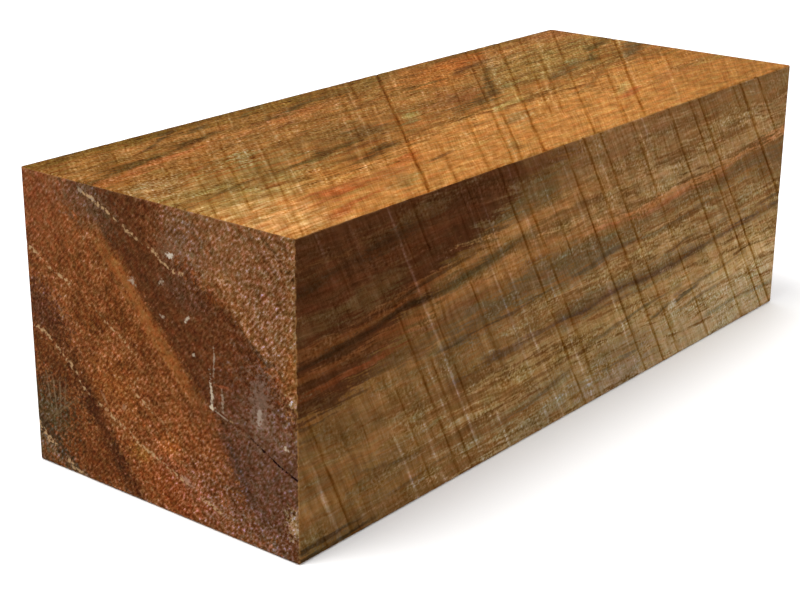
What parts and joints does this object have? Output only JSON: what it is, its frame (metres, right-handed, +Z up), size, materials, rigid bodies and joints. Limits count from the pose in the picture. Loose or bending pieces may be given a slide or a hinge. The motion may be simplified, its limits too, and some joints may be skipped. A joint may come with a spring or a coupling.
{
  "type": "lignum vitae wood blank",
  "caption": "Rectangular sawn block of dense dark hardwood, square-ended, with slanting saw marks on its long faces.",
  "frame": {"origin": "middle of the lower face, the one that the block rests on", "axes": "+X along the grain, from the near end to the far end; +Y from the front face to the back face; +Z up"},
  "size_m": [0.149, 0.0582, 0.0508],
  "materials": {
    "sawn_wood": "dense oily brown heartwood, sawn and unfinished, with dark streaks along the grain and pale wax traces on the ends"
  },
  "bodies": {
    "root": {"blank": "sawn_wood"}
  },
  "joints": []
}
